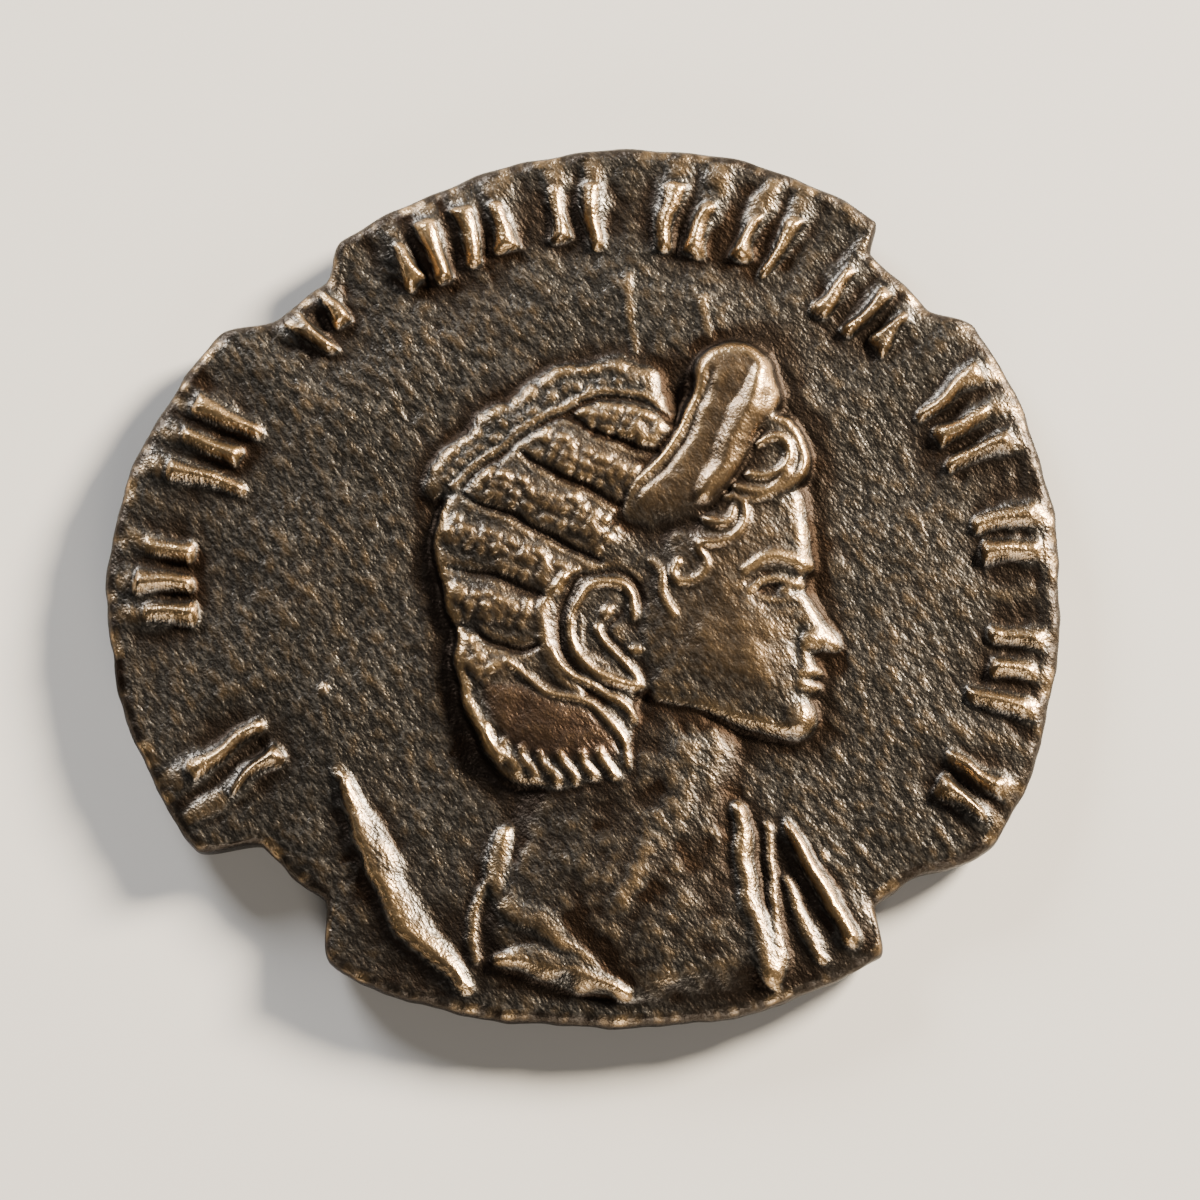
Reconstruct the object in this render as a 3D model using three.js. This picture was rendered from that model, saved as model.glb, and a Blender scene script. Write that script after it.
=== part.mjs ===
// A struck, worn billon coin of the third century, lying on its reverse with the obverse up.
// Millimetres, +Z up. On the obverse as it is read, +X is to the right and +Y is up.
// The origin is under the middle of the coin, on the surface that it lies on.
import * as THREE from "three";

// The flan, the disc of metal that was struck
const flanRadius = 11; // a share of this is given for each hour of the clock below
const fieldThickness = 1.2; // between the flat fields of the two sides
const rimDrop = 0.22; // how far the field falls towards the edge
const edgeRound = 0.3; // how far each face stops short of the widest outline
const shoulderLevel = 0.7; // height of the widest outline, as a share of fieldThickness
const footLevel = 0.3; // the same for where the edge turns in to the reverse
const footInset = 0.06; // how far it has turned in there

// The distance from the centre to the edge at each hour, from 12 o'clock on, in shares of flanRadius
const rimAtHour = [0.929, 0.99, 0.994, 1.001, 1.025, 0.995, 0.946, 0.966, 0.994, 0.999, 0.945, 0.897];

// Bites out of the edge, in degrees anticlockwise from 3 o'clock, and their depths
const chips = [
  { from: 33.5, to: 51.8, rampIn: 6, rampOut: 2.4, depth: 0.68 },
  { from: 124.5, to: 145, rampIn: 6, rampOut: 7, depth: 0.68 },
  { from: 215, to: 237, rampIn: 5, rampOut: 6, depth: 1.2 },
  { from: 308, to: 327.5, rampIn: 4, rampOut: 11, depth: 0.98 },
];

// Relief heights above the fields
const bustRelief = 0.46; // the head
const neckRelief = 0.32;
const hairRelief = 0.5;
const diademRelief = 0.62;
const drapeRelief = 0.3;
const wornLevel = 0.7; // nothing on the obverse stands higher than this
const legendRelief = 0.27;
const partingDepth = 0.2; // of the grooves between the waves of hair
const wearRadius = 0.15; // detail finer than this has worn smooth
const reverseRelief = 0.2; // the worn tops of the reverse, on which the coin lies
const foldDepth = 0.1;

// The bust is laid out on a grid of tenths of the head's height, from the ear
const headHeight = 9.17;
const earX = 0.39;
const earY = -0.8;
const shoulderWidth = 0.45; // how far in from its outline the relief has risen

// The legend: clusters of plain strokes that follow the edge, by their angles
const legendAngles = [330.5, 349, 7.5, 23.5, 44, 67, 90.5, 106, 117, 136, 160, 180, 206];
const legendInset = 1.7; // from the edge to the middle of the strokes
const strokeLength = 1.7;
const strokeWidth = 0.48;
const strokeSpacing = 0.74;
const strokeBend = 0.16;

// The reverse: a standing figure with a staff, and a ring of strokes
const figureHeight = 13.5;
const reverseStrokes = 22;
const reverseInset = 1.7;
const reverseStrokeLength = 1.2;

// How finely the surfaces are cut into triangles
const gridCells = 192; // across each face, for the places where a corner can be put
const borderCells = 4; // at the border, where no corner is put
const latticeCells = 12; // across each face, for the corners that are always there
const seatCells = 5; // from the middle to the corners of the flat spot under the coin's middle
const rimPoints = 256;
const reverseRimPoints = rimPoints / 2;
const obverseCorners = 3300;
const reverseCorners = 1000;
const curveSteps = 40;

const turn = 2 * Math.PI;
const radians = THREE.MathUtils.degToRad;
const { clamp, lerp, smoothstep } = THREE.MathUtils;

// The shape of the flan

// The unchipped radius at an angle, smooth through the twelve hours
function ovalRadius(angle) {
  const hour = (((3 - (angle * 12) / turn) % 12) + 12) % 12;
  const before = Math.floor(hour);
  const t = hour - before;
  const at = (i) => rimAtHour[(before + i + 12) % 12];
  const [a, b, c, d] = [at(-1), at(0), at(1), at(2)];
  const bend = (2 * a - 5 * b + 4 * c - d) * t * t + (3 * b - a - 3 * c + d) * t ** 3;
  return flanRadius * (b + ((c - a) * t + bend) / 2);
}

function chipDepth(angle, chip) {
  const degrees = THREE.MathUtils.euclideanModulo(THREE.MathUtils.radToDeg(angle), 360);
  const entry = smoothstep(degrees, chip.from, chip.from + chip.rampIn);
  const exit = 1 - smoothstep(degrees, chip.to - chip.rampOut, chip.to);
  return chip.depth * entry * exit;
}

function rimRadius(angle) {
  return chips.reduce((radius, chip) => radius - chipDepth(angle, chip), ovalRadius(angle));
}

// The middle of the outline's box, which becomes the middle of the part
function outlineMiddle() {
  const box = new THREE.Box2();
  for (let i = 0; i < rimPoints; i++) {
    const angle = (i * turn) / rimPoints;
    const r = rimRadius(angle);
    box.expandByPoint(new THREE.Vector2(r * Math.cos(angle), r * Math.sin(angle)));
  }
  return box.getCenter(new THREE.Vector2());
}

// Forms of relief, each with a box to skip points that it can't reach

function smoothLine(points, closed = false) {
  const knots = points.map(([x, y]) => new THREE.Vector3(x, y, 0));
  return new THREE.CatmullRomCurve3(knots, closed, "centripetal").getPoints(curveSteps);
}

function boxOf(line, margin) {
  return new THREE.Box2().setFromPoints(line).expandByScalar(margin);
}

// The distance from a point to a line, and how far along the line the nearest place is
function nearest(line, x, y) {
  let best = { distance: Infinity, share: 0 };
  for (let i = 1; i < line.length; i++) {
    const a = line[i - 1];
    const b = line[i];
    const [dx, dy] = [b.x - a.x, b.y - a.y];
    const t = clamp(((x - a.x) * dx + (y - a.y) * dy) / (dx * dx + dy * dy), 0, 1);
    const distance = Math.hypot(x - a.x - t * dx, y - a.y - t * dy);
    if (distance < best.distance) best = { distance, share: (i - 1 + t) / (line.length - 1) };
  }
  return best;
}

function inside(line, x, y) {
  let within = false;
  for (let i = 0, j = line.length - 1; i < line.length; j = i++) {
    const [a, b] = [line[i], line[j]];
    const crosses = a.y > y !== b.y > y;
    if (crosses && x < ((b.x - a.x) * (y - a.y)) / (b.y - a.y) + a.x) within = !within;
  }
  return within;
}

// A rounded band along a line; widths are half widths from its start to its end
function ridge(points, widths, height) {
  const line = smoothLine(points);
  const widest = Math.max(...widths);
  const box = boxOf(line, widest);
  const widthAt = (share) => {
    const place = share * (widths.length - 1);
    const i = Math.min(Math.floor(place), widths.length - 2);
    return lerp(widths[i], widths[i + 1], place - i);
  };
  return (x, y) => {
    if (x < box.min.x || x > box.max.x || y < box.min.y || y > box.max.y) return 0;
    const { distance, share } = nearest(line, x, y);
    const across = distance / widthAt(share);
    return across < 1 ? height * (1 - across * across) ** 1.25 : 0;
  };
}

// A raised body inside a closed outline: a shoulder, then a gentle crown
function body(points, height, crownShare, crownWidth) {
  const line = smoothLine(points, true);
  const box = boxOf(line, 0);
  return (x, y) => {
    if (x < box.min.x || x > box.max.x || y < box.min.y || y > box.max.y) return 0;
    if (!inside(line, x, y)) return 0;
    const { distance } = nearest(line, x, y);
    const crown = Math.sin((Math.min(distance / crownWidth, 1) * Math.PI) / 2);
    const rise = smoothstep(distance, -shoulderWidth / 4, shoulderWidth);
    return height * ((1 - crownShare) * rise + crownShare * crown);
  };
}

function bead(x0, y0, radius, height) {
  return (x, y) => {
    const across = Math.hypot(x - x0, y - y0) / radius;
    return across < 1 ? height * (1 - across * across) : 0;
  };
}

// Places on the grid of the bust, as millimetres on the coin
const tenth = headHeight / 10;
const onBust = (points) => points.map(([u, v]) => [earX + u * tenth, earY + v * tenth]);
const bustRidge = (points, widths, height) => ridge(onBust(points), widths.map((w) => w * tenth), height);

function neckBody() {
  const outline = [
    [-1.9, -3.8], [-2.2, -5.4], [-2.7, -6.8], [-2.95, -8.2], [-2.4, -9.1], [0, -9.7], [2, -9.75],
    [4.3, -9.2], [4.05, -7.6], [3.65, -6], [3.4, -4.6], [3.5, -3.2], [2.6, -2], [-0.5, -2],
  ];
  return body(onBust(outline), neckRelief, 0.45, 3 * tenth);
}

// The face, on thirds of equal height from hairline to brow, nose and chin
const facialThird = 2.2;
const browLine = 1.2;
const noseLine = browLine - facialThird;
const chinLine = noseLine - facialThird;
const eyeLine = browLine - 0.6;

function faceBody() {
  const outline = [
    [5, browLine + facialThird], [5.3, browLine + 1.2], [5.42, browLine + 0.1], [5.3, browLine - 0.5],
    [5.62, noseLine + 1.05], [6, noseLine + 0.35], [6.02, noseLine + 0.1], [5.6, noseLine - 0.05],
    [5.68, noseLine - 0.45], [5.52, noseLine - 0.66], [5.62, noseLine - 0.92], [5.4, noseLine - 1.2],
    [5.52, chinLine + 0.45], [5.3, chinLine + 0.05], [4.8, chinLine - 0.1], [3.8, chinLine + 0.12],
    [2.5, chinLine + 0.7], [1.2, noseLine - 0.7], [0.7, noseLine + 1], [1.2, 2.6], [3, 3.8],
  ];
  return body(onBust(outline), bustRelief, 0.4, 2.4 * tenth);
}

// Brow, lid, eye, nostril, lips, chin and cheek, in the same thirds
function faceCarving() {
  return [
    bustRidge([[3.6, browLine - 0.15], [4.3, browLine + 0.2], [5.1, browLine]], [0.2, 0.34, 0.3], 0.08),
    bustRidge([[3.75, eyeLine], [4.3, eyeLine + 0.28], [4.9, eyeLine + 0.05]], [0.15, 0.22, 0.2], 0.08),
    bustRidge([[4.1, eyeLine - 0.2], [4.75, eyeLine - 0.18]], [0.26, 0.28], 0.06),
    bustRidge([[5.35, noseLine + 0.18], [5.3, noseLine + 0.4]], [0.3, 0.3], 0.07),
    bustRidge([[4.95, noseLine - 0.62], [5.5, noseLine - 0.5]], [0.16, 0.24], 0.06),
    bustRidge([[4.95, noseLine - 0.88], [5.45, noseLine - 0.94]], [0.16, 0.24], 0.05),
    bustRidge([[4.8, chinLine + 0.45], [5.1, chinLine + 0.45]], [0.5, 0.45], 0.06),
    bustRidge([[3.5, noseLine + 0.2], [3.9, noseLine]], [1.1, 1.1], 0.05),
  ];
}

function hairBody() {
  const outline = [
    [1.75, 5.7], [1.1, 6.45], [0.3, 6.6], [-0.7, 6.4], [-1.9, 5.88], [-3.1, 5], [-4.1, 4.1], [-4.4, 3.2],
    [-4.05, 2.7], [-4.15, 1.6], [-4.05, 0.7], [-3.65, -0.75], [-3.45, -1.9], [-2.6, -3.6], [-1.9, -4.3],
    [-0.3, -4.6], [0.6, -4.3], [0.9, -3.6], [0.8, -2.6], [1.2, -1.6], [1.3, 0], [1.9, 1.4], [2.4, 3.6],
  ];
  return body(onBust(outline), hairRelief, 0.25, 1.6 * tenth);
}

// The cord that divides the plait over the crown from the waves, and the partings between the waves
const headCord = [[-3.7, 2.95], [-3.1, 3.8], [-1.9, 4.7], [-0.9, 5.25], [0.2, 5.5], [1.2, 5.35], [1.8, 5]];
const partings = [
  [[-0.95, 5], [0, 4.5], [1.3, 3.95]],
  [[-2.1, 4], [-1, 3.38], [0.6, 2.55]],
  [[-3.4, 2.9], [-2.5, 2.55], [-1.2, 1.7], [0, 1.25]],
  [[-3.9, 1.15], [-2.6, 0.9], [-1.4, 0.3]],
  [[-3.7, -0.2], [-2.4, -0.95], [-1.4, -0.75]],
  [[-3.2, -1.9], [-2.2, -2.1], [-1.2, -1.8]],
];

const hairCarving = () => [bustRidge(headCord, [0.24, 0.26, 0.22], 0.1)];

function hairGrooves() {
  const besideCord = headCord.map(([u, v]) => [u * 0.9, v * 0.9 + 0.05]);
  return [besideCord, ...partings].map((line) => bustRidge(line, [0.26, 0.32, 0.22], partingDepth));
}

// A rope of twisted lobes under the nape
function napeTwist() {
  const path = smoothLine([[-2.9, -3.3], [-2.3, -3.85], [-1.35, -4.15], [-0.3, -4.15], [0.3, -3.95]]);
  const lobes = 6;
  return Array.from({ length: lobes }, (_, i) => {
    const at = path[Math.round(((i + 0.5) / lobes) * (path.length - 1))];
    return bustRidge([[at.x - 0.18, at.y + 0.42], [at.x + 0.2, at.y - 0.3]], [0.27, 0.24], 0.14);
  });
}

function earCarving() {
  const helix = [
    [1, -0.15], [0.9, 0.5], [0.3, 0.8], [-0.35, 0.72], [-0.8, 0.2],
    [-0.82, -0.5], [-0.5, -1.2], [0.1, -1.75], [0.95, -2],
  ];
  const strand = [
    [-0.8, 1.3], [-1.4, 0.4], [-1.45, -0.6], [-1.1, -1.5],
    [-0.4, -2.1], [0.4, -2.6], [0.9, -3.1], [1.25, -3.9],
  ];
  return [
    bustRidge(helix, [0.24, 0.27, 0.26], 0.14),
    bustRidge(strand, [0.22, 0.28, 0.26], 0.12),
    bustRidge([[-0.9, -2.6], [0, -3.1], [0.7, -3.9]], [0.22, 0.26], 0.12),
    bead(...onBust([[0.2, -0.2]])[0], 0.34 * tenth, 0.1),
    bead(...onBust([[1, -1.22]])[0], 0.34 * tenth, 0.1),
  ];
}

function diademBody() {
  const outline = [
    [0.45, 1.9], [0.6, 2.8], [1.38, 3.8], [1.85, 4.5], [2.2, 5.3], [2.43, 6.3], [2.8, 6.75], [3.4, 6.82],
    [4.03, 6.48], [4.38, 5.8], [4.1, 5], [3.6, 4.2], [3.2, 3.6], [2.85, 3], [2.3, 2.35], [1.75, 1.8],
    [1, 1.6],
  ];
  return body(onBust(outline), diademRelief, 0.25, 0.9 * tenth);
}

// Locks that hook out from under the diadem, each on its own centre
const frontLocks = [
  { at: [4.35, 3.8], radius: 0.82 },
  { at: [3.1, 2.3], radius: 0.62 },
  { at: [2.05, 1.15], radius: 0.56 },
];

function frontLock({ at: [u, v], radius }) {
  const [from, sweep, steps] = [radians(125), radians(-275), 8];
  const hook = Array.from({ length: steps + 1 }, (_, i) => {
    const angle = from + (sweep * i) / steps;
    return [u + radius * Math.cos(angle), v + radius * Math.sin(angle)];
  });
  return bustRidge(hook, [0.2, 0.28, 0.22], 0.16);
}

function frontHairBody() {
  const outline = [
    [3.6, 4.9], [4.6, 4.95], [5.35, 4.2], [5.2, 3.2], [4.3, 2.65], [3.95, 2], [3.1, 1.55],
    [2.7, 0.8], [1.8, 0.4], [1.5, 1.8], [2.6, 3.2],
  ];
  return body(onBust(outline), bustRelief, 0.2, tenth);
}

// The robe at both sides of the neck, and the tips of the crescent that the bust rests on
function drapery() {
  const leftFold = [[-2.4, -5.85], [-2.95, -7], [-2.95, -8.5], [-2.4, -9.1], [-1.3, -9.4], [0.5, -9.65]];
  const crescentTip = [[-6.1, -4.5], [-5.5, -5.9], [-4.9, -7.3], [-4.12, -8.55], [-3.35, -9.5]];
  return [
    bustRidge(leftFold, [0.28, 0.34, 0.3], drapeRelief),
    bustRidge([[-2.7, -7], [-1.6, -8], [-0.3, -8.65]], [0.2, 0.4, 0.2], drapeRelief),
    bustRidge([[3.43, -5.05], [3.6, -6.6], [4.33, -9.2]], [0.38, 0.44, 0.34], drapeRelief * 1.4),
    bustRidge([[4.3, -5.4], [4.48, -6.65], [4.55, -7.9], [4.75, -8.9]], [0.24, 0.28, 0.24], drapeRelief),
    bustRidge([[4.88, -5.55], [5.35, -6.65], [5.88, -7.6], [6.4, -8.3]], [0.24, 0.36, 0.28], drapeRelief),
    bustRidge(crescentTip, [0.35, 0.55, 0.5, 0.24], drapeRelief),
  ];
}

// Strokes side by side, unequal, all bent the same way and flared at both ends
function strokeCluster(angle, index, inset, length, count) {
  const lengths = [1, 0.66, 0.84];
  const middle = rimRadius(angle) - inset;
  return Array.from({ length: count }, (_, i) => {
    const a = angle + ((i - (count - 1) / 2) * strokeSpacing) / middle;
    const half = (length * lengths[(i + index) % lengths.length]) / 2;
    const along = [Math.cos(a), Math.sin(a)];
    const place = (out, aside) => [
      (middle + out) * along[0] - aside * along[1],
      (middle + out) * along[1] + aside * along[0],
    ];
    const w = strokeWidth / 2;
    const curve = [place(half, 0), place(0, strokeBend), place(-half, 0)];
    return ridge(curve, [w * 1.2, w, w * 1.3], legendRelief);
  });
}

function legend() {
  return legendAngles.flatMap((degrees, i) =>
    strokeCluster(radians(degrees), i, legendInset, strokeLength, i % 4 === 2 ? 3 : 2),
  );
}

const bodies = [neckBody(), faceBody(), hairBody(), diademBody(), frontHairBody()];
const carvings = [
  ...faceCarving(),
  ...hairCarving(),
  ...napeTwist(),
  ...earCarving(),
  ...frontLocks.map(frontLock),
];
const grooves = hairGrooves();
const onField = [...drapery(), ...legend()];

const highest = (forms, x, y) => forms.reduce((most, form) => Math.max(most, form(x, y)), 0);

// Surface heights as wear leaves them, each the average round about
function worn(heightAt) {
  const around = Array.from({ length: 8 }, (_, i) => [
    wearRadius * Math.cos((i * turn) / 8),
    wearRadius * Math.sin((i * turn) / 8),
  ]);
  return (x, y) => around.reduce((sum, [dx, dy]) => sum + heightAt(x + dx, y + dy), heightAt(x, y)) / 9;
}

// The height of the obverse over its field
function obverseHeight(x, y) {
  const ground = Math.max(highest(bodies, x, y), highest(onField, x, y));
  return Math.min(ground + highest(carvings, x, y) - highest(grooves, x, y), wornLevel);
}

// The reverse, seen from its own side: a robed figure, a staff, and strokes round the edge
const figureTenth = figureHeight / 10;
const onReverse = (points) => points.map(([x, y]) => [x * figureTenth, y * figureTenth]);
const reverseRidge = (points, widths, height) =>
  ridge(onReverse(points), widths.map((w) => w * figureTenth), height);

function figureForms() {
  const robe = [
    [-0.8, 2.8], [0.9, 2.8], [1.15, 0.6], [1.5, -2], [1.7, -4.5], [-1.4, -4.5], [-1.3, -2], [-1.05, 0.6],
  ];
  return [
    body(onReverse(robe), reverseRelief * 1.3, 0.2, 0.6 * figureTenth),
    bead(0.05 * figureTenth, 3.6 * figureTenth, 0.85 * figureTenth, reverseRelief * 1.8),
    reverseRidge([[0.5, 2.3], [1.4, 1.3], [2.3, 1.7]], [0.3, 0.34, 0.28], reverseRelief * 1.4),
    reverseRidge([[-0.4, 2.3], [-1.2, 1], [-2.2, 0.5]], [0.3, 0.36, 0.3], reverseRelief * 1.4),
    reverseRidge([[2.5, 4.6], [2.5, -4.5]], [0.24, 0.24], reverseRelief * 1.4),
    reverseRidge([[-4.2, -4.85], [4.2, -4.85]], [0.2, 0.2], reverseRelief * 1.4),
  ];
}

function robeFolds() {
  const foldAt = (x) => [[x * 0.8, -0.9], [x, -2.2], [x * 1.3, -4.2]];
  return [-0.8, 0.05, 0.9].map((x) => reverseRidge(foldAt(x), [0.1, 0.24, 0.2], foldDepth));
}

// The ring is open under the ground line
function reverseRing() {
  return Array.from({ length: reverseStrokes }, (_, i) => {
    const angle = radians(245 - (310 * (i + 0.5)) / reverseStrokes);
    const [stroke] = strokeCluster(Math.PI - angle, i, reverseInset, reverseStrokeLength, 1);
    return (x, y) => Math.min(stroke(-x, y), reverseRelief);
  });
}

const reverseForms = [...figureForms(), ...reverseRing()];
const folds = robeFolds();

function reverseHeight(x, y) {
  const flattened = Math.min(highest(reverseForms, -x, y), reverseRelief);
  return Math.max(flattened - highest(folds, -x, y), 0);
}

// A face of the coin as a square grid, whose nodes become corners where the relief needs them.
// The square is bent to the outline, so its border lands on the edge of the face.

// A place in the square, both ways from -1 to 1, as a place on the face
function onFace(u, v, inset) {
  const x = u * Math.sqrt(1 - (v * v) / 2);
  const y = v * Math.sqrt(1 - (u * u) / 2);
  const share = Math.hypot(x, y);
  const angle = Math.atan2(y, x) + turn / 8;
  const r = share * (lerp(ovalRadius(angle), rimRadius(angle), share ** 2) - inset);
  return [r * Math.cos(angle), r * Math.sin(angle)];
}

// Twice the area of a triangle of nodes, above zero when it turns anticlockwise
const area = (a, b, c) => (b[0] - a[0]) * (c[1] - a[1]) - (b[1] - a[1]) * (c[0] - a[0]);

// Whether a node is inside the circle through three others
function inCircle([a, b, c], p) {
  const [ax, ay] = [a[0] - p[0], a[1] - p[1]];
  const [bx, by] = [b[0] - p[0], b[1] - p[1]];
  const [cx, cy] = [c[0] - p[0], c[1] - p[1]];
  const [aa, bb, cc] = [ax * ax + ay * ay, bx * bx + by * by, cx * cx + cy * cy];
  return aa * (bx * cy - cx * by) - bb * (ax * cy - cx * ay) + cc * (ax * by - bx * ay) > 0;
}

function meshFace(heightAt, inset, borderPoints, mostCorners) {
  const place = ([i, j]) => onFace((2 * i) / gridCells - 1, (2 * j) / gridCells - 1, inset);
  const heights = [];
  for (let i = 0; i <= gridCells; i++)
    heights.push(Array.from({ length: gridCells + 1 }, (_, j) => heightAt(...place([i, j]))));
  const heightOf = ([i, j]) => heights[i][j];
  const margin = Math.round(borderCells);

  // A triangle, with the node in it that lies farthest from it in height
  const measured = (a, b, c) => {
    const triangle = { corners: [a, b, c], farthest: null, gap: 0 };
    const whole = area(a, b, c);
    const [ha, hb, hc] = [a, b, c].map(heightOf);
    const [low, high] = [Math.min, Math.max].map((pick) =>
      [0, 1].map((k) => clamp(pick(a[k], b[k], c[k]), margin, gridCells - margin)),
    );
    for (let i = low[0]; i <= high[0]; i++)
      for (let j = low[1]; j <= high[1]; j++) {
        const p = [i, j];
        const [wa, wb] = [area(b, c, p) / whole, area(c, a, p) / whole];
        if (wa < 0 || wb < 0 || wa + wb > 1) continue;
        const gap = Math.abs(wa * ha + wb * hb + (1 - wa - wb) * hc - heights[i][j]);
        if (gap > triangle.gap) Object.assign(triangle, { farthest: p, gap });
      }
    return triangle;
  };

  const last = gridCells;
  const [sw, se, ne, nw] = [[0, 0], [last, 0], [last, last], [0, last]];
  let triangles = [measured(sw, se, ne), measured(sw, ne, nw)];
  const inserted = new Set([sw, se, ne, nw].map(String));
  const insert = (p) => {
    if (inserted.has(String(p))) return;
    inserted.add(String(p));
    const hit = triangles.filter(({ corners }) => inCircle(corners, p));
    const gone = new Set(hit);
    const sides = hit.flatMap(({ corners: [a, b, c] }) => [[a, b], [b, c], [c, a]]);
    const outer = sides.filter(([a, b]) => !sides.some(([c, d]) => c === b && d === a));
    const fresh = outer.filter(([a, b]) => area(a, b, p) > 0).map(([a, b]) => measured(a, b, p));
    triangles = [...triangles.filter((t) => !gone.has(t)), ...fresh];
  };

  // The border in order, a node just inside each corner of the square, the lattice and the seat
  const perSide = borderPoints / 4;
  const side = Array.from({ length: perSide }, (_, k) => Math.round((k * last) / perSide));
  const border = [
    ...side.map((k) => [k, 0]),
    ...side.map((k) => [last, k]),
    ...side.map((k) => [last - k, last]),
    ...side.map((k) => [0, last - k]),
  ];
  border.forEach(insert);
  const tucked = Math.ceil((last / perSide + 1) / 2);
  const inCorners = [tucked, last - tucked];
  const nodeAt = (k) => Math.round((k * last) / latticeCells);
  const lattice = Array.from({ length: latticeCells - 1 }, (_, k) => nodeAt(k + 1));
  const seat = [-1, 1].map((side) => Math.round(last / 2 + side * seatCells));
  for (const nodes of [inCorners, lattice, seat])
    for (const i of nodes) for (const j of nodes) insert([i, j]);
  while (inserted.size < mostCorners) {
    const worst = triangles.reduce((most, t) => (t.gap > most.gap ? t : most));
    insert(worst.farthest);
  }
  const toPoint = (node) => new THREE.Vector3(...place(node), heightOf(node));
  return { triangles: triangles.map((t) => t.corners.map(toPoint)), border: border.map(toPoint) };
}

// The coin: both faces, and the edge between them
function coinGeometry() {
  const middle = outlineMiddle();
  const drop = (x, y) => {
    const share = Math.hypot(x, y) / rimRadius(Math.atan2(y, x));
    return rimDrop * share ** 4;
  };
  const top = reverseRelief + fieldThickness;
  const [obverseWorn, reverseWorn] = [obverseHeight, reverseHeight].map(worn);
  const topAt = (x, y) => top + obverseWorn(x, y) - drop(x, y);
  const bottomAt = (x, y) => reverseRelief - reverseWorn(x, y);
  const obverse = meshFace(topAt, edgeRound, rimPoints, obverseCorners);
  const underside = meshFace(bottomAt, edgeRound, reverseRimPoints, reverseCorners);

  const ring = (inset, z) =>
    obverse.border.map(({ x, y }) => {
      const angle = Math.atan2(y, x);
      const r = rimRadius(angle) - inset;
      return new THREE.Vector3(r * Math.cos(angle), r * Math.sin(angle), z);
    });
  const rings = [
    underside.border,
    ring(footInset, reverseRelief + fieldThickness * footLevel),
    ring(0, reverseRelief + fieldThickness * shoulderLevel),
    obverse.border,
  ];

  const corners = [];
  obverse.triangles.forEach((t) => corners.push(...t));
  underside.triangles.forEach(([a, b, c]) => corners.push(a, c, b));
  rings.slice(1).forEach((upper, level) => {
    const lower = rings[level];
    const ratio = upper.length / lower.length;
    lower.forEach((a, i) => {
      const b = lower[(i + 1) % lower.length];
      const above = (k) => upper[(i * ratio + k) % upper.length];
      for (let k = 0; k < ratio; k++) corners.push(a, above(k + 1), above(k));
      corners.push(a, b, above(ratio));
    });
  });
  const geometry = new THREE.BufferGeometry().setFromPoints(corners);
  geometry.translate(-middle.x, -middle.y, 0);
  geometry.computeVertexNormals();
  return geometry;
}

const billon = new THREE.MeshStandardMaterial({ color: 0x4d4238, metalness: 0.85, roughness: 0.5 });

const coin = new THREE.Mesh(coinGeometry(), billon);
coin.name = "coin";

const part = new THREE.Group();
part.add(coin);

export default part;
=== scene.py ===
import math

import bmesh
import bpy
import numpy as np
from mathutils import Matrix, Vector


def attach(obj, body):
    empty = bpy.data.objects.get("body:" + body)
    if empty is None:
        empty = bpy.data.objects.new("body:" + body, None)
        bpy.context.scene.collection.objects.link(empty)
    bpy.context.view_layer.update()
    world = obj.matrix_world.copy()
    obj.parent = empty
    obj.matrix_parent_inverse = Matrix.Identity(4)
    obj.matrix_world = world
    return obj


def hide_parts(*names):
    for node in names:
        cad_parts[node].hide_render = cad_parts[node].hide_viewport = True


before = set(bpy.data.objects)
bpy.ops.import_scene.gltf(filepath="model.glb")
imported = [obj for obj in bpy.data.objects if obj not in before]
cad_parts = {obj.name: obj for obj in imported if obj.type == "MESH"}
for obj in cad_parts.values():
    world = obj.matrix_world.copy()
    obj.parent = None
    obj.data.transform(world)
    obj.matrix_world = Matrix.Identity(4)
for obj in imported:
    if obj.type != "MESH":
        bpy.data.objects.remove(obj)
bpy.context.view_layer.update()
print("solid loaded")

mm = 0.001  # forms below are in millimetres, the scene in metres

# the struck disc; hours run clockwise from 12, chips anticlockwise from 3 o'clock in degrees
flan = {
    "radius": 11.0,
    "hours": [0.929, 0.99, 0.994, 1.001, 1.025, 0.995, 0.946, 0.966, 0.994, 0.999, 0.945, 0.897],
    "thickness": 1.2,  # between the two fields
    "rimDrop": 0.22,
    "edgeRound": 0.3,
    "chips": [
        {"from": 33.5, "to": 51.8, "rampIn": 6, "rampOut": 2.4, "depth": 0.68},
        {"from": 124.5, "to": 145, "rampIn": 6, "rampOut": 7, "depth": 0.68},
        {"from": 215, "to": 237, "rampIn": 5, "rampOut": 6, "depth": 1.2},
        {"from": 308, "to": 327.5, "rampIn": 4, "rampOut": 11, "depth": 0.98},
    ],
    # the edge from the obverse down: how far in from the widest line, and the height
    "edge": [(0.17, 1.19), (0.07, 1.13), (0.01, 1.04), (0, 0.92), (0.02, 0.7), (0.06, 0.5), (0.15, 0.32)],
    "edgeWaves": 0.035,
    "nibbles": 0.045,
    "edgeLift": 0.02,  # how far the waves lift and lower the bright line
    "brightAbove": 1.1,  # the height where that line starts
    "rimGlint": 0.9,
    "obverseCells": 274,
    "reverseCells": 128,
    "centreDensity": 0.8,  # below 1 packs the points closer in the middle
}


def smoothStep(value, low, high):
    share = np.clip((value - low) / (high - low), 0, 1)
    return share * share * (3 - 2 * share)


def ovalRadius(angle):
    hour = (3 - np.asarray(angle) * 12 / (2 * math.pi)) % 12
    before = np.floor(hour).astype(int)
    t = hour - before
    a, b, c, d = (np.array(flan["hours"])[(before + k) % 12] for k in (-1, 0, 1, 2))
    bend = (2 * a - 5 * b + 4 * c - d) * t * t + (3 * b - a - 3 * c + d) * t**3
    return flan["radius"] * (b + ((c - a) * t + bend) / 2)


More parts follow.
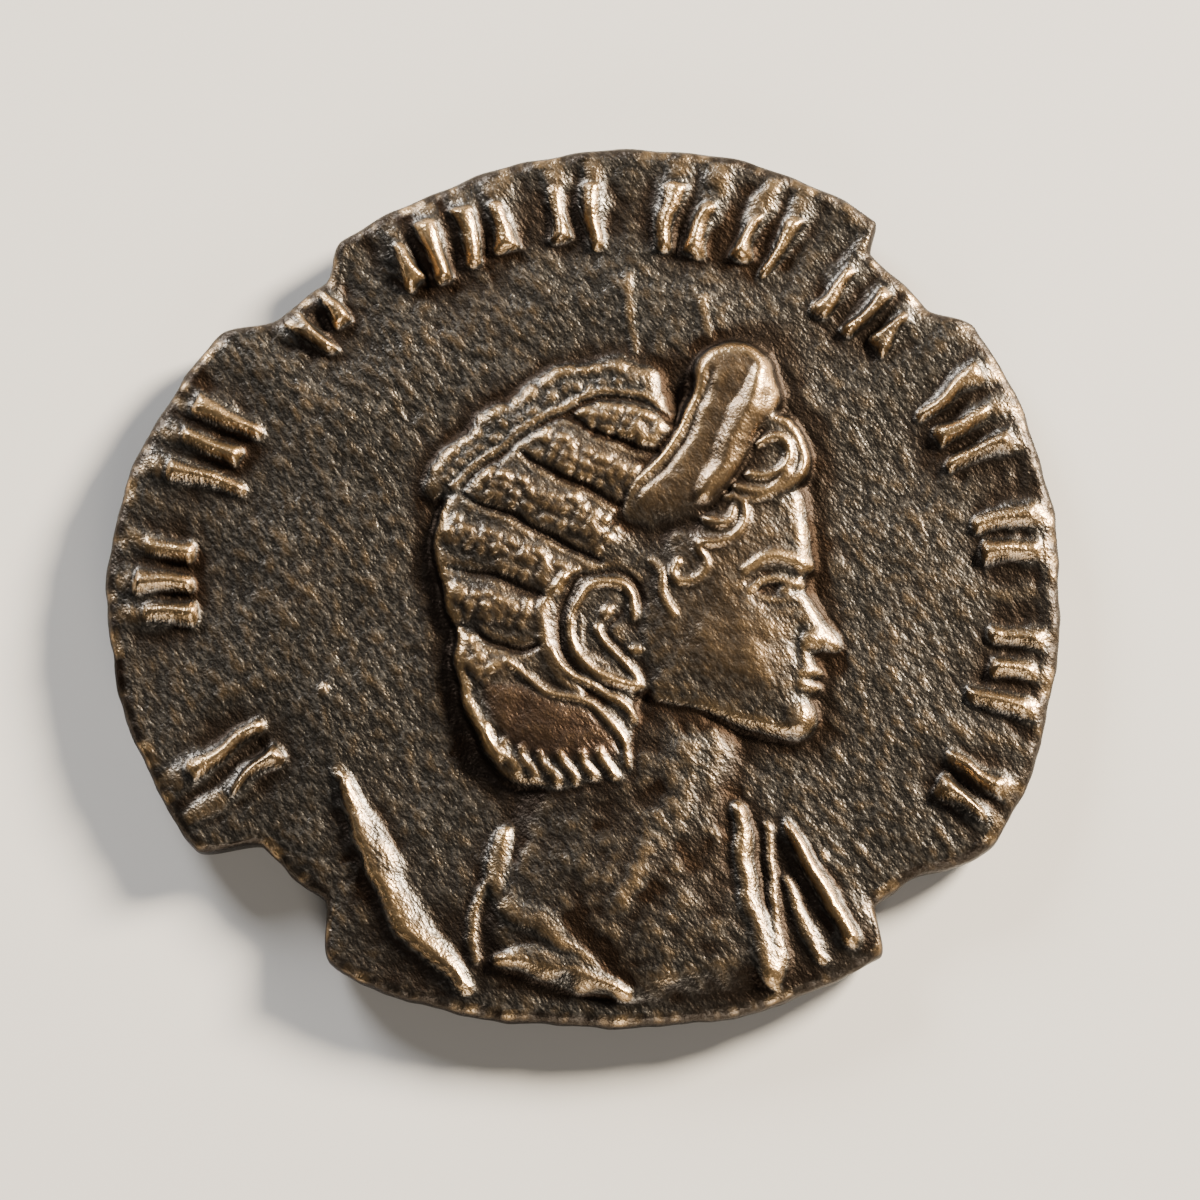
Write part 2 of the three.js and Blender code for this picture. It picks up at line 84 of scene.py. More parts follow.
def rimRadius(angle):
    radius = ovalRadius(angle)
    degrees = np.degrees(angle) % 360
    for chip in flan["chips"]:
        entry = smoothStep(degrees, chip["from"], chip["from"] + chip["rampIn"])
        leaving = 1 - smoothStep(degrees, chip["to"] - chip["rampOut"], chip["to"])
        radius = radius - chip["depth"] * entry * leaving
    uneven = np.sin(9 * angle + 1) * np.sin(14 * angle + 2) + 0.6 * np.sin(31 * angle) * np.sin(22 * angle + 4)
    return radius - flan["nibbles"] * (1.2 + uneven)


def outlineMiddle():
    angle = np.arange(256) * 2 * math.pi / 256
    x, y = rimRadius(angle) * np.cos(angle), rimRadius(angle) * np.sin(angle)
    return np.array([(x.min() + x.max()) / 2, (y.min() + y.max()) / 2])


def smoothLine(points, closed=False, steps=7):
    knots = [np.array(p, float) for p in points]
    if closed:
        knots = [knots[-1], *knots, knots[0], knots[1]]
    else:
        knots = [2 * knots[0] - knots[1], *knots, 2 * knots[-1] - knots[-2]]
    line = []
    for a, b, c, d in zip(knots, knots[1:], knots[2:], knots[3:]):
        for t in np.arange(steps) / steps:
            bend = (2 * a - 5 * b + 4 * c - d) * t * t + (3 * b - a - 3 * c + d) * t**3
            line.append(b + ((c - a) * t + bend) / 2)
    if not closed:
        line.append(knots[-2])
    return np.array(line)


# one face of the coin: a square of points bent to the outline, and forms raised on it
class Face:
    def __init__(self, cells):
        self.cells = cells
        across = np.linspace(-1, 1, cells + 1)
        across *= flan["centreDensity"] + (1 - flan["centreDensity"]) * across**2
        u, v = np.meshgrid(across, across, indexing="ij")
        bentX, bentY = u * np.sqrt(1 - v * v / 2), v * np.sqrt(1 - u * u / 2)
        share = np.hypot(bentX, bentY)
        angle = np.arctan2(bentY, bentX) + math.pi / 4
        edge = rimRadius(angle)
        radius = share * (ovalRadius(angle) * (1 - share**2) + edge * share**2 - flan["edgeRound"])
        self.x, self.y = radius * np.cos(angle), radius * np.sin(angle)
        self.angle, self.fromEdge = angle, edge - radius
        self.share = radius / edge

    def near(self, line, margin):
        low, high = line.min(axis=0) - margin, line.max(axis=0) + margin
        return (self.x > low[0]) & (self.x < high[0]) & (self.y > low[1]) & (self.y < high[1])

    # distance to a line, the share of its length at the nearest place, and the side of it
    def nearest(self, line, where, closed=False):
        px, py = self.x[where], self.y[where]
        best = np.full(px.shape, np.inf)
        along = np.zeros(px.shape)
        side = np.zeros(px.shape)
        ends = np.vstack([line, line[:1]]) if closed else line
        for k, (a, b) in enumerate(zip(ends, ends[1:])):
            d = b - a
            t = np.clip(((px - a[0]) * d[0] + (py - a[1]) * d[1]) / (d @ d + 1e-12), 0, 1)
            distance = np.hypot(px - a[0] - t * d[0], py - a[1] - t * d[1])
            closer = distance < best
            best = np.where(closer, distance, best)
            along = np.where(closer, (k + t) / (len(ends) - 1), along)
            side = np.where(closer, np.sign(d[0] * (py - a[1]) - d[1] * (px - a[0])), side)
        return best, along, side

    # slope is how many times wider the ridge falls away on the left of its line
    def ridge(self, points, widths, height, power=1.3, slope=1.0):
        line = smoothLine(points)
        where = self.near(line, max(widths) * max(slope, 1))
        raised = np.zeros_like(self.x)
        if where.any():
            distance, along, side = self.nearest(line, where)
            width = np.interp(along, np.linspace(0, 1, len(widths)), widths)
            width = np.where(side > 0, width * slope, width)
            raised[where] = height * np.clip(1 - (distance / width) ** 2, 0, 1) ** power
        return raised

    # how deep each point lies inside a closed outline
    def depth(self, points):
        line = smoothLine(points, closed=True)
        where = self.near(line, 0.01)
        inward = np.zeros_like(self.x)
        distance, _, _ = self.nearest(line, where, closed=True)
        px, py = self.x[where], self.y[where]
        inside = np.zeros(px.shape, bool)
        for a, b in zip(line, np.roll(line, -1, axis=0)):
            crosses = (a[1] > py) != (b[1] > py)
            rise = b[1] - a[1] if b[1] != a[1] else 1e-12
            inside ^= crosses & (px < (b[0] - a[0]) * (py - a[1]) / rise + a[0])
        inward[where] = np.where(inside, distance, 0)
        return inward

    def mound(self, points, height, shoulder, crownShare=0.25, crownWidth=1.5):
        inward = self.depth(points)
        rise = smoothStep(inward, -shoulder * 0.15, shoulder) * (inward > 0)
        crown = np.sin(np.minimum(inward / crownWidth, 1) * math.pi / 2)
        return height * ((1 - crownShare) * rise + crownShare * crown)

    def dome(self, x, y, radius, height, stretch=1.0, turned=0.0):
        dx, dy = self.x - x, self.y - y
        c, s = math.cos(turned), math.sin(turned)
        across = np.hypot((dx * c + dy * s) / stretch, dy * c - dx * s) / radius
        return height * np.clip(1 - across**2, 0, 1) ** 1.2

    # a flat-topped wedge of a bar; out is the way it points, and taper widens that end
    def bar(self, middle, out, half, width, height, taper=0.0, bend=0.0):
        dx, dy = self.x - middle[0], self.y - middle[1]
        along = (dx * out[0] + dy * out[1]) / half
        across = dy * out[0] - dx * out[1] + bend * along**2
        side = width * (0.85 + 0.15 * along**2 + taper * along) - abs(across)
        return height * smoothStep(side, -0.02, 0.13) * smoothStep((1 - abs(along)) * half, -0.02, 0.14)

    # a row of grains along a line, each a little off its place
    def beads(self, points, radius, spacing, height, seed, stray=0.15):
        line = smoothLine(points, steps=24)
        length = np.concatenate([[0], np.cumsum(np.hypot(*np.diff(line, axis=0).T))])
        luck = np.random.default_rng(seed)
        raised = np.zeros_like(self.x)
        for at in np.arange(spacing / 2, length[-1], spacing):
            x, y = (np.interp(at, length, line[:, k]) + luck.normal(0, stray * radius) for k in (0, 1))
            r = radius * luck.uniform(0.8, 1.15)
            where = (abs(self.x - x) < r) & (abs(self.y - y) < r)
            across = np.hypot(self.x[where] - x, self.y[where] - y) / r
            grown = height * luck.uniform(0.75, 1.1) * np.clip(1 - across**2, 0, 1)
            raised[where] = np.maximum(raised[where], grown)
        return raised

    # a field of random swells, longer along one direction
    def swells(self, seed, length, width, direction=0.0):
        size, extent = 768, 24.0  # points and millimetres of the repeating square
        noise = np.random.default_rng(seed).normal(size=(size, size))
        steps = np.fft.fftfreq(size, extent / size)
        fx, fy = np.meshgrid(steps, steps, indexing="ij")
        c, s = math.cos(direction), math.sin(direction)
        along, across = fx * c + fy * s, fy * c - fx * s
        kept = np.exp(-2 * math.pi**2 * ((along * length / 4) ** 2 + (across * width / 4) ** 2))
        wave = np.fft.ifft2(np.fft.fft2(noise) * kept).real
        wave /= wave.std()
        gx, gy = ((axis / extent + 0.5) * size for axis in (self.x, self.y))
        i, j = gx.astype(int) % size, gy.astype(int) % size
        tx, ty = gx - np.floor(gx), gy - np.floor(gy)
        i1, j1 = (i + 1) % size, (j + 1) % size
        near, far = wave[i, j] * (1 - tx) + wave[i1, j] * tx, wave[i, j1] * (1 - tx) + wave[i1, j1] * tx
        return near * (1 - ty) + far * ty


def softened(height, times):
    for _ in range(times):
        for axis in (0, 1):
            pad = np.pad(height, [(1, 1) if axis == k else (0, 0) for k in (0, 1)], mode="edge")
            before, after = (pad[:-2], pad[2:]) if axis == 0 else (pad[:, :-2], pad[:, 2:])
            height = (before + 2 * height + after) / 4
    return height


def highest(*forms):
    return np.maximum.reduce(forms)


# the bust is laid out in tenths of the head's height from the ear
bust = {
    "headHeight": 9.17,
    "ear": (0.39, -0.8),
    "face": 0.46,
    "neck": 0.3,
    "hair": 0.38,
    "diadem": 0.54,
    "drape": 0.32,
    "robeOnNeck": 0.45,
    "wornLevel": 0.72,
    "neckDarkening": 0.4,
    "flow": [[(0.75, 8.7), (0.8, 7.7), (1.0, 6.7)], [(2.5, 8.3), (2.6, 7.7), (2.75, 7.1)]],
    "grains": [(-6.88, -1.92, 0.14, 0.1), (-6.5, -4.05, 0.3, 0.06), (5.6, -6.05, 0.2, 0.07)],
    "handCut": 0.045,  # how far lines stray from their drawing
}
tenth = bust["headHeight"] / 10

obverse = Face(flan["obverseCells"])


def onBust(points):
    return [(bust["ear"][0] + u * tenth, bust["ear"][1] + v * tenth) for u, v in points]


def bustRidge(points, widths, height, power=1.3, slope=1.0):
    return obverse.ridge(onBust(points), [w * tenth for w in widths], height, power, slope)


def bustDome(u, v, radius, height, stretch=1.0, turned=0.0):
    (x, y), = onBust([(u, v)])
    return obverse.dome(x, y, radius * tenth, height, stretch, turned)


# a face on thirds of equal height: hairline, brow, base of the nose, chin
facePlan = {
    "third": 2.2,
    "brow": 1.2,
    "front": 5.4,
    "eyeBelowBrow": 0.62,
    "noseOut": 0.66,
    "lipOut": 0.24,
}


def faceForm():
    brow, third, front = facePlan["brow"], facePlan["third"], facePlan["front"]
    nose, chin, eye = brow - third, brow - 2 * third, brow - facePlan["eyeBelowBrow"]
    tip, lip = front + facePlan["noseOut"], front + facePlan["lipOut"]
    outline = [
        (front - 0.45, brow + third), (front - 0.1, brow + 1.2), (front + 0.02, brow + 0.1),
        (front - 0.1, brow - 0.5),
        (front + 0.24, nose + 1), (tip - 0.04, nose + 0.36), (tip, nose + 0.1), (tip - 0.16, nose - 0.04),
        (front + 0.14, nose - 0.1), (front + 0.16, nose - 0.36), (lip, nose - 0.56), (front + 0.08, nose - 0.7),
        (lip - 0.04, nose - 0.88), (front, nose - 1.18), (front + 0.1, chin + 0.5), (front - 0.1, chin + 0.06),
        (front - 0.6, chin - 0.1), (3.8, chin + 0.1), (2.4, chin + 0.5), (0.9, nose - 1.3), (0.5, nose + 1),
        (1.2, 2.6), (3, 3.8),
    ]
    form = obverse.mound(onBust(outline), bust["face"], 0.34, 0.45, 2.2)
    jaw = smoothStep(obverse.x, bust["ear"][0] + 0.2 * tenth, bust["ear"][0] + 4.2 * tenth)
    low = 1 - smoothStep(obverse.y, bust["ear"][1] - 3 * tenth, bust["ear"][1] - 0.5 * tenth)
    form *= 1 - 0.3 * low * (1 - jaw)  # the jaw melts into the neck below the ear
    shaping = highest(
        bustRidge([(3.6, brow - 0.16), (4.3, brow + 0.22), (5.25, brow)], [0.12, 0.2, 0.2], 0.12),
        bustRidge([(3.72, eye - 0.08), (4.2, eye + 0.24), (5.02, eye + 0.12)], [0.07, 0.12, 0.11], 0.15),
        bustRidge([(3.9, eye - 0.18), (4.4, eye - 0.3), (4.95, eye - 0.2)], [0.06, 0.1, 0.08], 0.1),
        bustDome(4.62, eye - 0.03, 0.2, 0.14, 1.35),
        bustDome(front - 0.12, nose + 0.22, 0.3, 0.09, 1.15),
        bustRidge([(front - 0.45, nose - 0.62), (front, nose - 0.52), (lip, nose - 0.57)], [0.08, 0.15, 0.14], 0.11),
        bustRidge(
            [(front - 0.42, nose - 0.82), (front - 0.05, nose - 0.92), (lip - 0.05, nose - 0.89)],
            [0.08, 0.16, 0.14], 0.1,
        ),
        bustDome(front - 0.35, chin + 0.5, 0.55, 0.07),
        bustDome(3.6, nose + 0.15, 1.3, 0.06),
        bustRidge([(1.5, nose - 0.9), (2.9, chin + 0.7), (4.5, chin + 0.22)], [0.4, 0.5, 0.4], 0.035),
    )
    hollows = highest(
        bustDome(4.4, eye + 0.04, 0.62, 0.11, 1.4),
        bustRidge([(front - 0.5, nose - 0.71), (lip, nose - 0.72)], [0.05, 0.07], 0.09),
        bustDome(front - 0.12, nose + 0.02, 0.13, 0.09, 1.4),
        bustRidge(
            [(front - 0.42, nose + 0.62), (front - 0.52, nose + 0.1), (front - 0.46, nose - 0.3)],
            [0.1, 0.12, 0.08], 0.055,
        ),
        bustDome(front - 0.3, nose - 1.16, 0.3, 0.04, 1.6),
    )
    return form, np.where(form > 0.05, shaping - hollows, 0)


# hair: waves between partings, a plait over the crown inside a cord, a rolled knot on the nape
hair = {
    "cap": [
        (-3.7, 3.1), (-3.15, 3.8), (-1.9, 4.75), (-0.62, 5.42), (0.62, 5.57), (1.9, 5.1), (2.4, 3.6), (1.9, 1.4),
        (1.3, 0), (1.2, -1.6), (1.0, -2.6), (0.95, -3.6), (0.55, -4.3), (-0.4, -4.62), (-1.8, -4.5), (-2.7, -4.05),
        (-3.2, -3.1), (-3.57, -1.79), (-3.72, -0.77), (-4.1, 0.77), (-4.12, 2.17), (-3.95, 2.8),
    ],
    "plait": [
        (-4.55, 3.2), (-4.12, 4.2), (-3.15, 5.1), (-1.9, 6.0), (-0.7, 6.55), (0.55, 6.78), (1.4, 6.4), (1.75, 5.9),
        (2.0, 5.0), (0.62, 5.0), (-0.5, 4.8), (-1.6, 4.1), (-2.8, 3.2), (-3.4, 2.5), (-4.1, 2.6),
    ],
    "plaitHeight": 0.24,
    "partings": [
        [(-0.95, 5.15), (0, 4.6), (1.4, 4.04)],
        [(-2.05, 4.05), (-1, 3.45), (0.7, 2.63)],
        [(-3.45, 2.96), (-2.15, 2.4), (-1, 1.74), (0, 1.28)],
        [(-3.83, 1.15), (-2.52, 0.92), (-1.4, 0.33)],
        [(-3.7, -0.26), (-2.25, -0.95), (-1.5, -0.77)],
    ],
    "waves": [
        [(-0.5, 5.2), (0.4, 5.0), (1.6, 4.6)],
        [(-1.5, 4.45), (-0.4, 4.0), (1.1, 3.35)],
        [(-2.9, 3.5), (-2.0, 3.1), (-0.8, 2.5), (0.3, 1.95)],
        [(-3.8, 2.1), (-2.6, 1.8), (-1.6, 1.2), (-0.9, 0.95)],
        [(-3.8, 0.5), (-2.7, 0.2), (-1.7, -0.15)],
        [(-3.4, -0.9), (-2.9, -1.3), (-2.5, -1.5)],
    ],
    "waveHeight": 0.055,
    "grainHeight": 0.09,
    "grainRows": (-0.33, -0.08, 0.17),  # beside each wave's line
    "outerBeads": [(-4.2, 3.55), (-3.75, 4.2), (-2.85, 4.98), (-1.75, 5.75), (-0.6, 6.22), (0.6, 6.35)],
    "innerBeads": [(-3.95, 3.3), (-3.45, 3.95), (-2.5, 4.7), (-1.6, 5.25), (-0.6, 5.72), (0.6, 5.88)],
    "cord": [(-3.72, 3.14), (-3.17, 3.83), (-1.9, 4.78), (-0.62, 5.47), (0.62, 5.62), (1.9, 5.11)],
    "cordGroove": [(-3.45, 3.1), (-2.98, 3.65), (-1.8, 4.56), (-0.58, 5.26), (0.6, 5.4), (1.8, 4.92)],
    "backRim": [
        (-3.8, 3.05), (-4.03, 2.17), (-4.0, 0.77), (-3.6, -0.77), (-3.44, -1.79), (-3.0, -2.94), (-2.5, -3.75),
    ],
    "backGroove": [
        (-4.0, 3.0), (-4.24, 2.15), (-4.2, 0.75), (-3.8, -0.8), (-3.64, -1.86), (-3.2, -3.02), (-2.68, -3.92),
    ],
    "knot": [
        (-3.0, -1.8), (-2.0, -1.75), (-0.9, -2.2), (0.1, -2.7), (0.55, -3.4), (0.2, -3.9), (-1.2, -3.85),
        (-2.5, -3.3),
    ],
    "twist": [
        (-2.75, -3.3), (-2.33, -3.65), (-1.85, -3.83), (-1.33, -3.93), (-0.8, -4.02), (-0.3, -4.04), (0.15, -3.96),
    ],
    "strands": [
        (
            [(-2.35, -1.23), (-1.35, -1.97), (-0.25, -2.43), (0.55, -3.19), (0.75, -3.96)],
            [0.08, 0.12, 0.14, 0.12], 0.14,
        ),
        ([(-1.18, -0.89), (-0.75, -1.58), (0.57, -2.4), (1.12, -3.37)], [0.08, 0.12, 0.13, 0.1], 0.15),
        ([(-0.6, 1.0), (-1.3, 0.38), (-1.38, -0.54), (-0.95, -1.66), (-0.5, -2.1)], [0.08, 0.2, 0.2, 0.1], 0.09),
    ],
}


def hairForm():
    cap = obverse.mound(onBust(hair["cap"]), bust["hair"], 0.22, 0.25, 1.6)
    plait = obverse.mound(onBust(hair["plait"]), hair["plaitHeight"], 0.4, 0.3, 0.6)
    waves = highest(*(bustRidge(line, [0.3, 0.5, 0.36], hair["waveHeight"], 1) for line in hair["waves"]))
    grains = np.zeros_like(cap)
    for k, line in enumerate(hair["waves"]):
        for row, side in enumerate(hair["grainRows"]):
            beadLine = [(u + side * 0.4, v + side + 0.06 * (-1) ** n) for n, (u, v) in enumerate(line)]
            made = obverse.beads(onBust(beadLine), 0.14, 0.25, hair["grainHeight"], 10 * k + row, 0.3)
            grains = np.maximum(grains, made)
    plaitBeads = highest(
        obverse.beads(onBust(hair["outerBeads"]), 0.17, 0.3, 0.07, 71, 0.3),
        obverse.beads(onBust(hair["innerBeads"]), 0.13, 0.25, 0.06, 72, 0.3),
    )
    cord = bustRidge(hair["cord"], [0.08, 0.1, 0.1], 0.1)
    rim = bustRidge(hair["backRim"], [0.08, 0.11, 0.1, 0.14, 0.1], 0.12)
    grooves = highest(
        *(bustRidge(line, [0.07, 0.1, 0.08], 0.13) for line in hair["partings"]),
        bustRidge(hair["cordGroove"], [0.06, 0.09, 0.08], 0.1),
    )
    knotDepth = obverse.depth(onBust(hair["knot"]))
    smooth = smoothStep(knotDepth, 0, 0.3)
    detail = (waves + grains) * (1 - smooth) + smooth * 0.06
    detail = highest(detail, rim * (1 - smooth)) - grooves * (1 - smooth)
    form = highest(cap + np.where(cap > 0.08, detail, 0), plait + np.where(plait > 0.04, plaitBeads, 0), rim)
    return form + cord - bustRidge(hair["backGroove"], [0.06, 0.08, 0.06], 0.05), cap, smooth


# strands that frame the ear and run down to the knot, and the twisted end of the knot
def strandForms():
    forms = [bustRidge(*strand) for strand in hair["strands"]]
    for u, v in hair["twist"]:
        lobe = [(u - 0.14, v + 0.38), (u - 0.1, v + 0.1), (u + 0.1, v - 0.15), (u + 0.22, v - 0.36)]
        forms.append(bustRidge(lobe, [0.1, 0.17, 0.17, 0.1], 0.12))
    return highest(*forms)


ear = {
    "rim": [
        (0.95, -0.1), (0.85, 0.4), (0.45, 0.66), (-0.35, 0.55), (-0.75, -0.45), (-0.3, -1.42), (0.3, -1.85),
        (1.0, -2.0),
    ],
    "groove": [(1.2, 0.2), (0.6, 0.92), (-0.1, 0.92), (-0.7, 0.74), (-1.02, -0.36), (-0.6, -1.55), (0.3, -2.12)],
    "inner": [(-0.5, -0.2), (-0.38, -1.0), (0.2, -1.55)],
    "lobe": [(-0.1, -0.45), (0.4, -1.15), (0.95, -1.9)],
}


def earForms():
    raised = highest(
        bustRidge(ear["rim"], [0.1, 0.13, 0.11, 0.14, 0.12], 0.15),
        bustRidge(ear["inner"], [0.06, 0.08, 0.06], 0.07),
        bustRidge(ear["lobe"], [0.08, 0.11, 0.12], 0.12),
        bustDome(0.12, -0.03, 0.24, 0.1),
        bustDome(0.93, -1.07, 0.2, 0.1, 1.4),
    )
    sunk = highest(
        bustRidge(ear["groove"], [0.09, 0.1, 0.08], 0.09),
        bustRidge([(0.55, 0.1), (0.2, -0.5), (0.6, -1.2)], [0.14, 0.14], 0.07),
    )
    return raised, sunk


diadem = {
    "outline": [
        (-0.1, 2.1), (0.35, 2.85), (1.15, 3.83), (1.75, 4.7), (2.1, 5.5), (2.25, 6.3), (2.65, 6.9), (3.35, 7.06),
        (4.15, 6.75), (4.6, 5.9), (4.5, 5.1), (4.1, 4.3), (3.6, 3.5), (3.0, 2.6), (2.3, 1.7), (1.2, 1.1),
    ],
    "border": [(2.52, 6.3), (2.2, 5.3), (1.95, 4.5), (1.35, 3.7), (0.8, 3.05)],
    "borderGroove": [(2.75, 6.2), (2.42, 5.2), (2.15, 4.35), (1.55, 3.55), (1.0, 2.9)],
    "crest": [(4.0, 6.1), (3.7, 5.1), (3.2, 4.0), (2.6, 3.0)],
    "fold": [(3.6, 6.75), (4.1, 6.35), (4.3, 5.75)],
}


def diademForm():
    form = obverse.mound(onBust(diadem["outline"]), bust["diadem"], 0.24, 0.3, 0.8)
    foot = smoothStep(obverse.y, bust["ear"][1] + 1.2 * tenth, bust["ear"][1] + 3.2 * tenth)
    detail = highest(
        bustRidge(diadem["crest"], [0.3, 0.5, 0.46, 0.3], 0.16, 1.1),
        bustRidge(diadem["border"], [0.07, 0.1, 0.08], 0.1),
        bustRidge(diadem["fold"], [0.12, 0.16, 0.12], 0.07),
    )
    groove = bustRidge(diadem["borderGroove"], [0.08, 0.1, 0.08], 0.09)
    cover = smoothStep(form, 0.2, 0.4) * foot  # where it hides the hair
    return form * (0.2 + 0.8 * foot) + np.where(form > 0.1, detail - groove, 0) * foot, cover


# locks that loop out from under the diadem: each has two outlines, one inside the other
frontLocks = {
    "body": [
        (3.6, 4.9), (4.4, 5.12), (5.0, 4.7), (5.34, 4.0), (5.1, 3.3), (4.3, 2.75), (3.85, 2.6), (3.8, 2.1),
        (3.2, 1.68), (2.72, 1.5), (2.6, 0.9), (2.1, 0.66), (1.5, 0.6), (1.5, 1.8), (2.6, 3.2),
    ],
    "strands": [
        [(3.75, 4.47), (4.38, 5.0), (4.95, 4.55), (5.2, 3.96), (4.75, 3.22), (4.0, 2.85), (3.6, 2.8)],
        [(3.9, 4.3), (4.45, 4.5), (4.8, 4.1), (4.65, 3.7), (4.1, 3.4), (3.7, 3.45)],
        [(3.1, 3.3), (3.7, 3.02), (4.3, 3.1), (4.8, 3.6)],
        [(2.95, 2.94), (3.55, 2.78), (3.7, 2.2), (3.12, 1.8), (2.52, 1.78)],
        [(3.4, 2.62), (3.3, 2.25), (2.85, 2.15), (2.3, 2.45)],
        [(2.5, 1.75), (2.72, 1.35), (2.55, 0.9), (2.1, 0.72), (1.8, 0.95), (1.95, 1.3)],
        [(1.2, 1.35), (1.5, 0.9), (1.62, 0.4), (1.9, -0.13)],
    ],
}


def frontLockForms():
    form = obverse.mound(onBust(frontLocks["body"]), bust["face"] - 0.06, 0.2, 0.1, 0.8)
    strands = highest(*(bustRidge(line, [0.08, 0.13, 0.1], 0.16) for line in frontLocks["strands"]))
    return form, strands


def neckForm():
    outline = [
        (-1.9, -3.8), (-2.2, -5.4), (-2.7, -6.8), (-2.95, -8.2), (-2.4, -9.1), (0, -9.7), (2, -9.75),
        (4.3, -9.2), (4.05, -7.6), (3.6, -6), (3.4, -4.6), (3.5, -3.2), (2.6, -2), (-0.5, -2),
    ]
    form = obverse.mound(onBust(outline), bust["neck"], 0.7, 0.5, 2.6)
    return form + bustRidge([(2.2, -3.6), (1.6, -5.4), (0.6, -7.2)], [0.5, 0.6, 0.4], 0.05)


# the robe beside the neck, and the crescent's tips that stand out behind the shoulders
drapery = [
    {"line": [(-2.5, -5.9), (-2.9, -6.95), (-3.2, -8.2), (-3.1, -8.8)], "widths": [0.06, 0.09, 0.12, 0.1],
     "height": 0.5, "slope": 1.5},
    {"line": [(-2.4, -5.6), (-2.62, -6.4), (-2.5, -7.1), (-2.1, -7.65), (-1.4, -8.0), (-0.7, -8.6), (0.1, -9.3)],
     "widths": [0.22, 0.34, 0.3, 0.24, 0.32, 0.24, 0.12], "height": 0.62, "slope": 1.5},
    {"line": [(-2.5, -8.75), (-1.6, -8.85), (-0.5, -9.2), (0.5, -9.6)], "widths": [0.2, 0.42, 0.44, 0.24],
     "height": 1.05, "slope": 1.15},
    {"line": [(3.3, -5.0), (3.62, -7.16), (4.2, -8.94), (4.42, -9.33)], "widths": [0.2, 0.34, 0.36, 0.16],
     "height": 0.95, "slope": 1.5},
    {"line": [(4.12, -5.37), (4.36, -7.41), (4.55, -9.2)], "widths": [0.07, 0.1, 0.09], "height": 0.8, "slope": 1.0},
    {"line": [(4.6, -6.7), (5.12, -8.05), (5.55, -8.8)], "widths": [0.08, 0.17, 0.1], "height": 0.4, "slope": 1.6},
    {"line": [(4.75, -5.4), (5.55, -6.9), (6.3, -8.2)], "widths": [0.12, 0.32, 0.26], "height": 0.85, "slope": 1.0},
    {"line": [(-6.45, -4.35), (-5.75, -6.39), (-4.88, -8.05), (-3.45, -9.5)], "widths": [0.07, 0.14, 0.14, 0.06],
     "height": 0.8, "slope": 6},
]


def draperyForms():
    ridges = []
    for fold in drapery:
        ridges.append(bustRidge(fold["line"], fold["widths"], bust["drape"] * fold["height"], 1.2, fold["slope"]))
    return highest(*ridges)


# rows of plain strokes round the rim: degrees, millimetres from the middle, strokes, length
rimStrokes = {
    "clusters": [
        (208, 9.0, 2, 2.1), (180, 9.5, 3, 1.7), (159.5, 9.0, 3, 2.0), (134.5, 8.6, 2, 1.6), (116, 8.5, 2, 1.7),
        (105.5, 8.6, 2, 1.8), (91, 8.55, 2, 1.9), (74.5, 8.8, 2, 1.8), (62.5, 9.1, 2, 1.7), (44.4, 9.1, 3, 1.8),
        (23, 9.5, 3, 1.9), (6.5, 9.9, 2, 1.8), (348, 10.0, 3, 1.6), (331.5, 10.2, 2, 2.0),
    ],
    "width": 0.43,
    "spacing": 0.76,
    "bend": 0.05,
    "height": 0.27,
    "moat": 0.08,
    "lengths": (1, 0.7, 0.86, 0.78),
    "lean": 0.14,  # in radians
    "seed": 31,
}


def strokeCluster(face, degrees, middle, count, length, index):
    luck = np.random.default_rng(rimStrokes["seed"] + index)
    lean = rimStrokes["lean"] * luck.uniform(-1, 1)
    raised = []
    for k in range(count):
        a = math.radians(degrees) + (k - (count - 1) / 2) * rimStrokes["spacing"] / middle
        half = length * rimStrokes["lengths"][(k + index) % 4] / 2
        radius = middle + luck.uniform(-0.5, 0.5) * (length / 2 - half) * 2
        width = rimStrokes["width"] / 2 * luck.uniform(0.85, 1.25)
        height = rimStrokes["height"] * luck.uniform(0.8, 1.1)
        out = np.array([math.cos(a), math.sin(a)])
        way = np.array([math.cos(a + lean), math.sin(a + lean)])
        bend = rimStrokes["bend"] * luck.uniform(-1, 1)
        taper = luck.uniform(0.2, 0.42) * (-1) ** (k + index)
        raised.append(face.bar(out * radius, way, half, width, height, taper, bend))
        smear = [out * radius + way * (half + 1.2), out * radius + way * half, out * radius - way * half * 0.7]
        raised.append(face.ridge(smear, [width, width * 2, width * 2.2, width * 0.7], height * 0.4, 1))
    return highest(*raised)


def rimStrokeForms(face):
    raised, moat = [], []
    for index, (degrees, middle, count, length) in enumerate(rimStrokes["clusters"]):
        raised.append(strokeCluster(face, degrees, middle, count, length, index))
        a = math.radians(degrees)
        x, y = (middle - 0.15) * math.cos(a), (middle - 0.15) * math.sin(a)
        moat.append(face.dome(x, y, 0.5 * count + 0.75, rimStrokes["moat"], 1.15, a))
    return highest(*raised), highest(*moat)


# unevenness of the struck face: swells by depth, seed, length and width
surface = {
    "broad": (0.018, 3, 3.5, 3.5),
    "grained": [(0.005, 4, 0.7, 0.3), (0.008, 5, 0.4, 0.17)],
    "worn": [(0.006, 6, 0.3, 0.22), (0.01, 8, 0.9, 0.7)],
    "pits": (0.03, 7, 0.4, 0.3),
    "pitShare": 1.7,  # higher leaves fewer pits
    "wander": [(21, 1.1, 1.1), (22, 1.1, 1.1)],  # what draws the lines off their course
    "halo": 0.03,  # the sunken band round the bust
    "haloSteps": 30,
    "carried": 0.7,  # how much of the field's unevenness shows on the relief
}


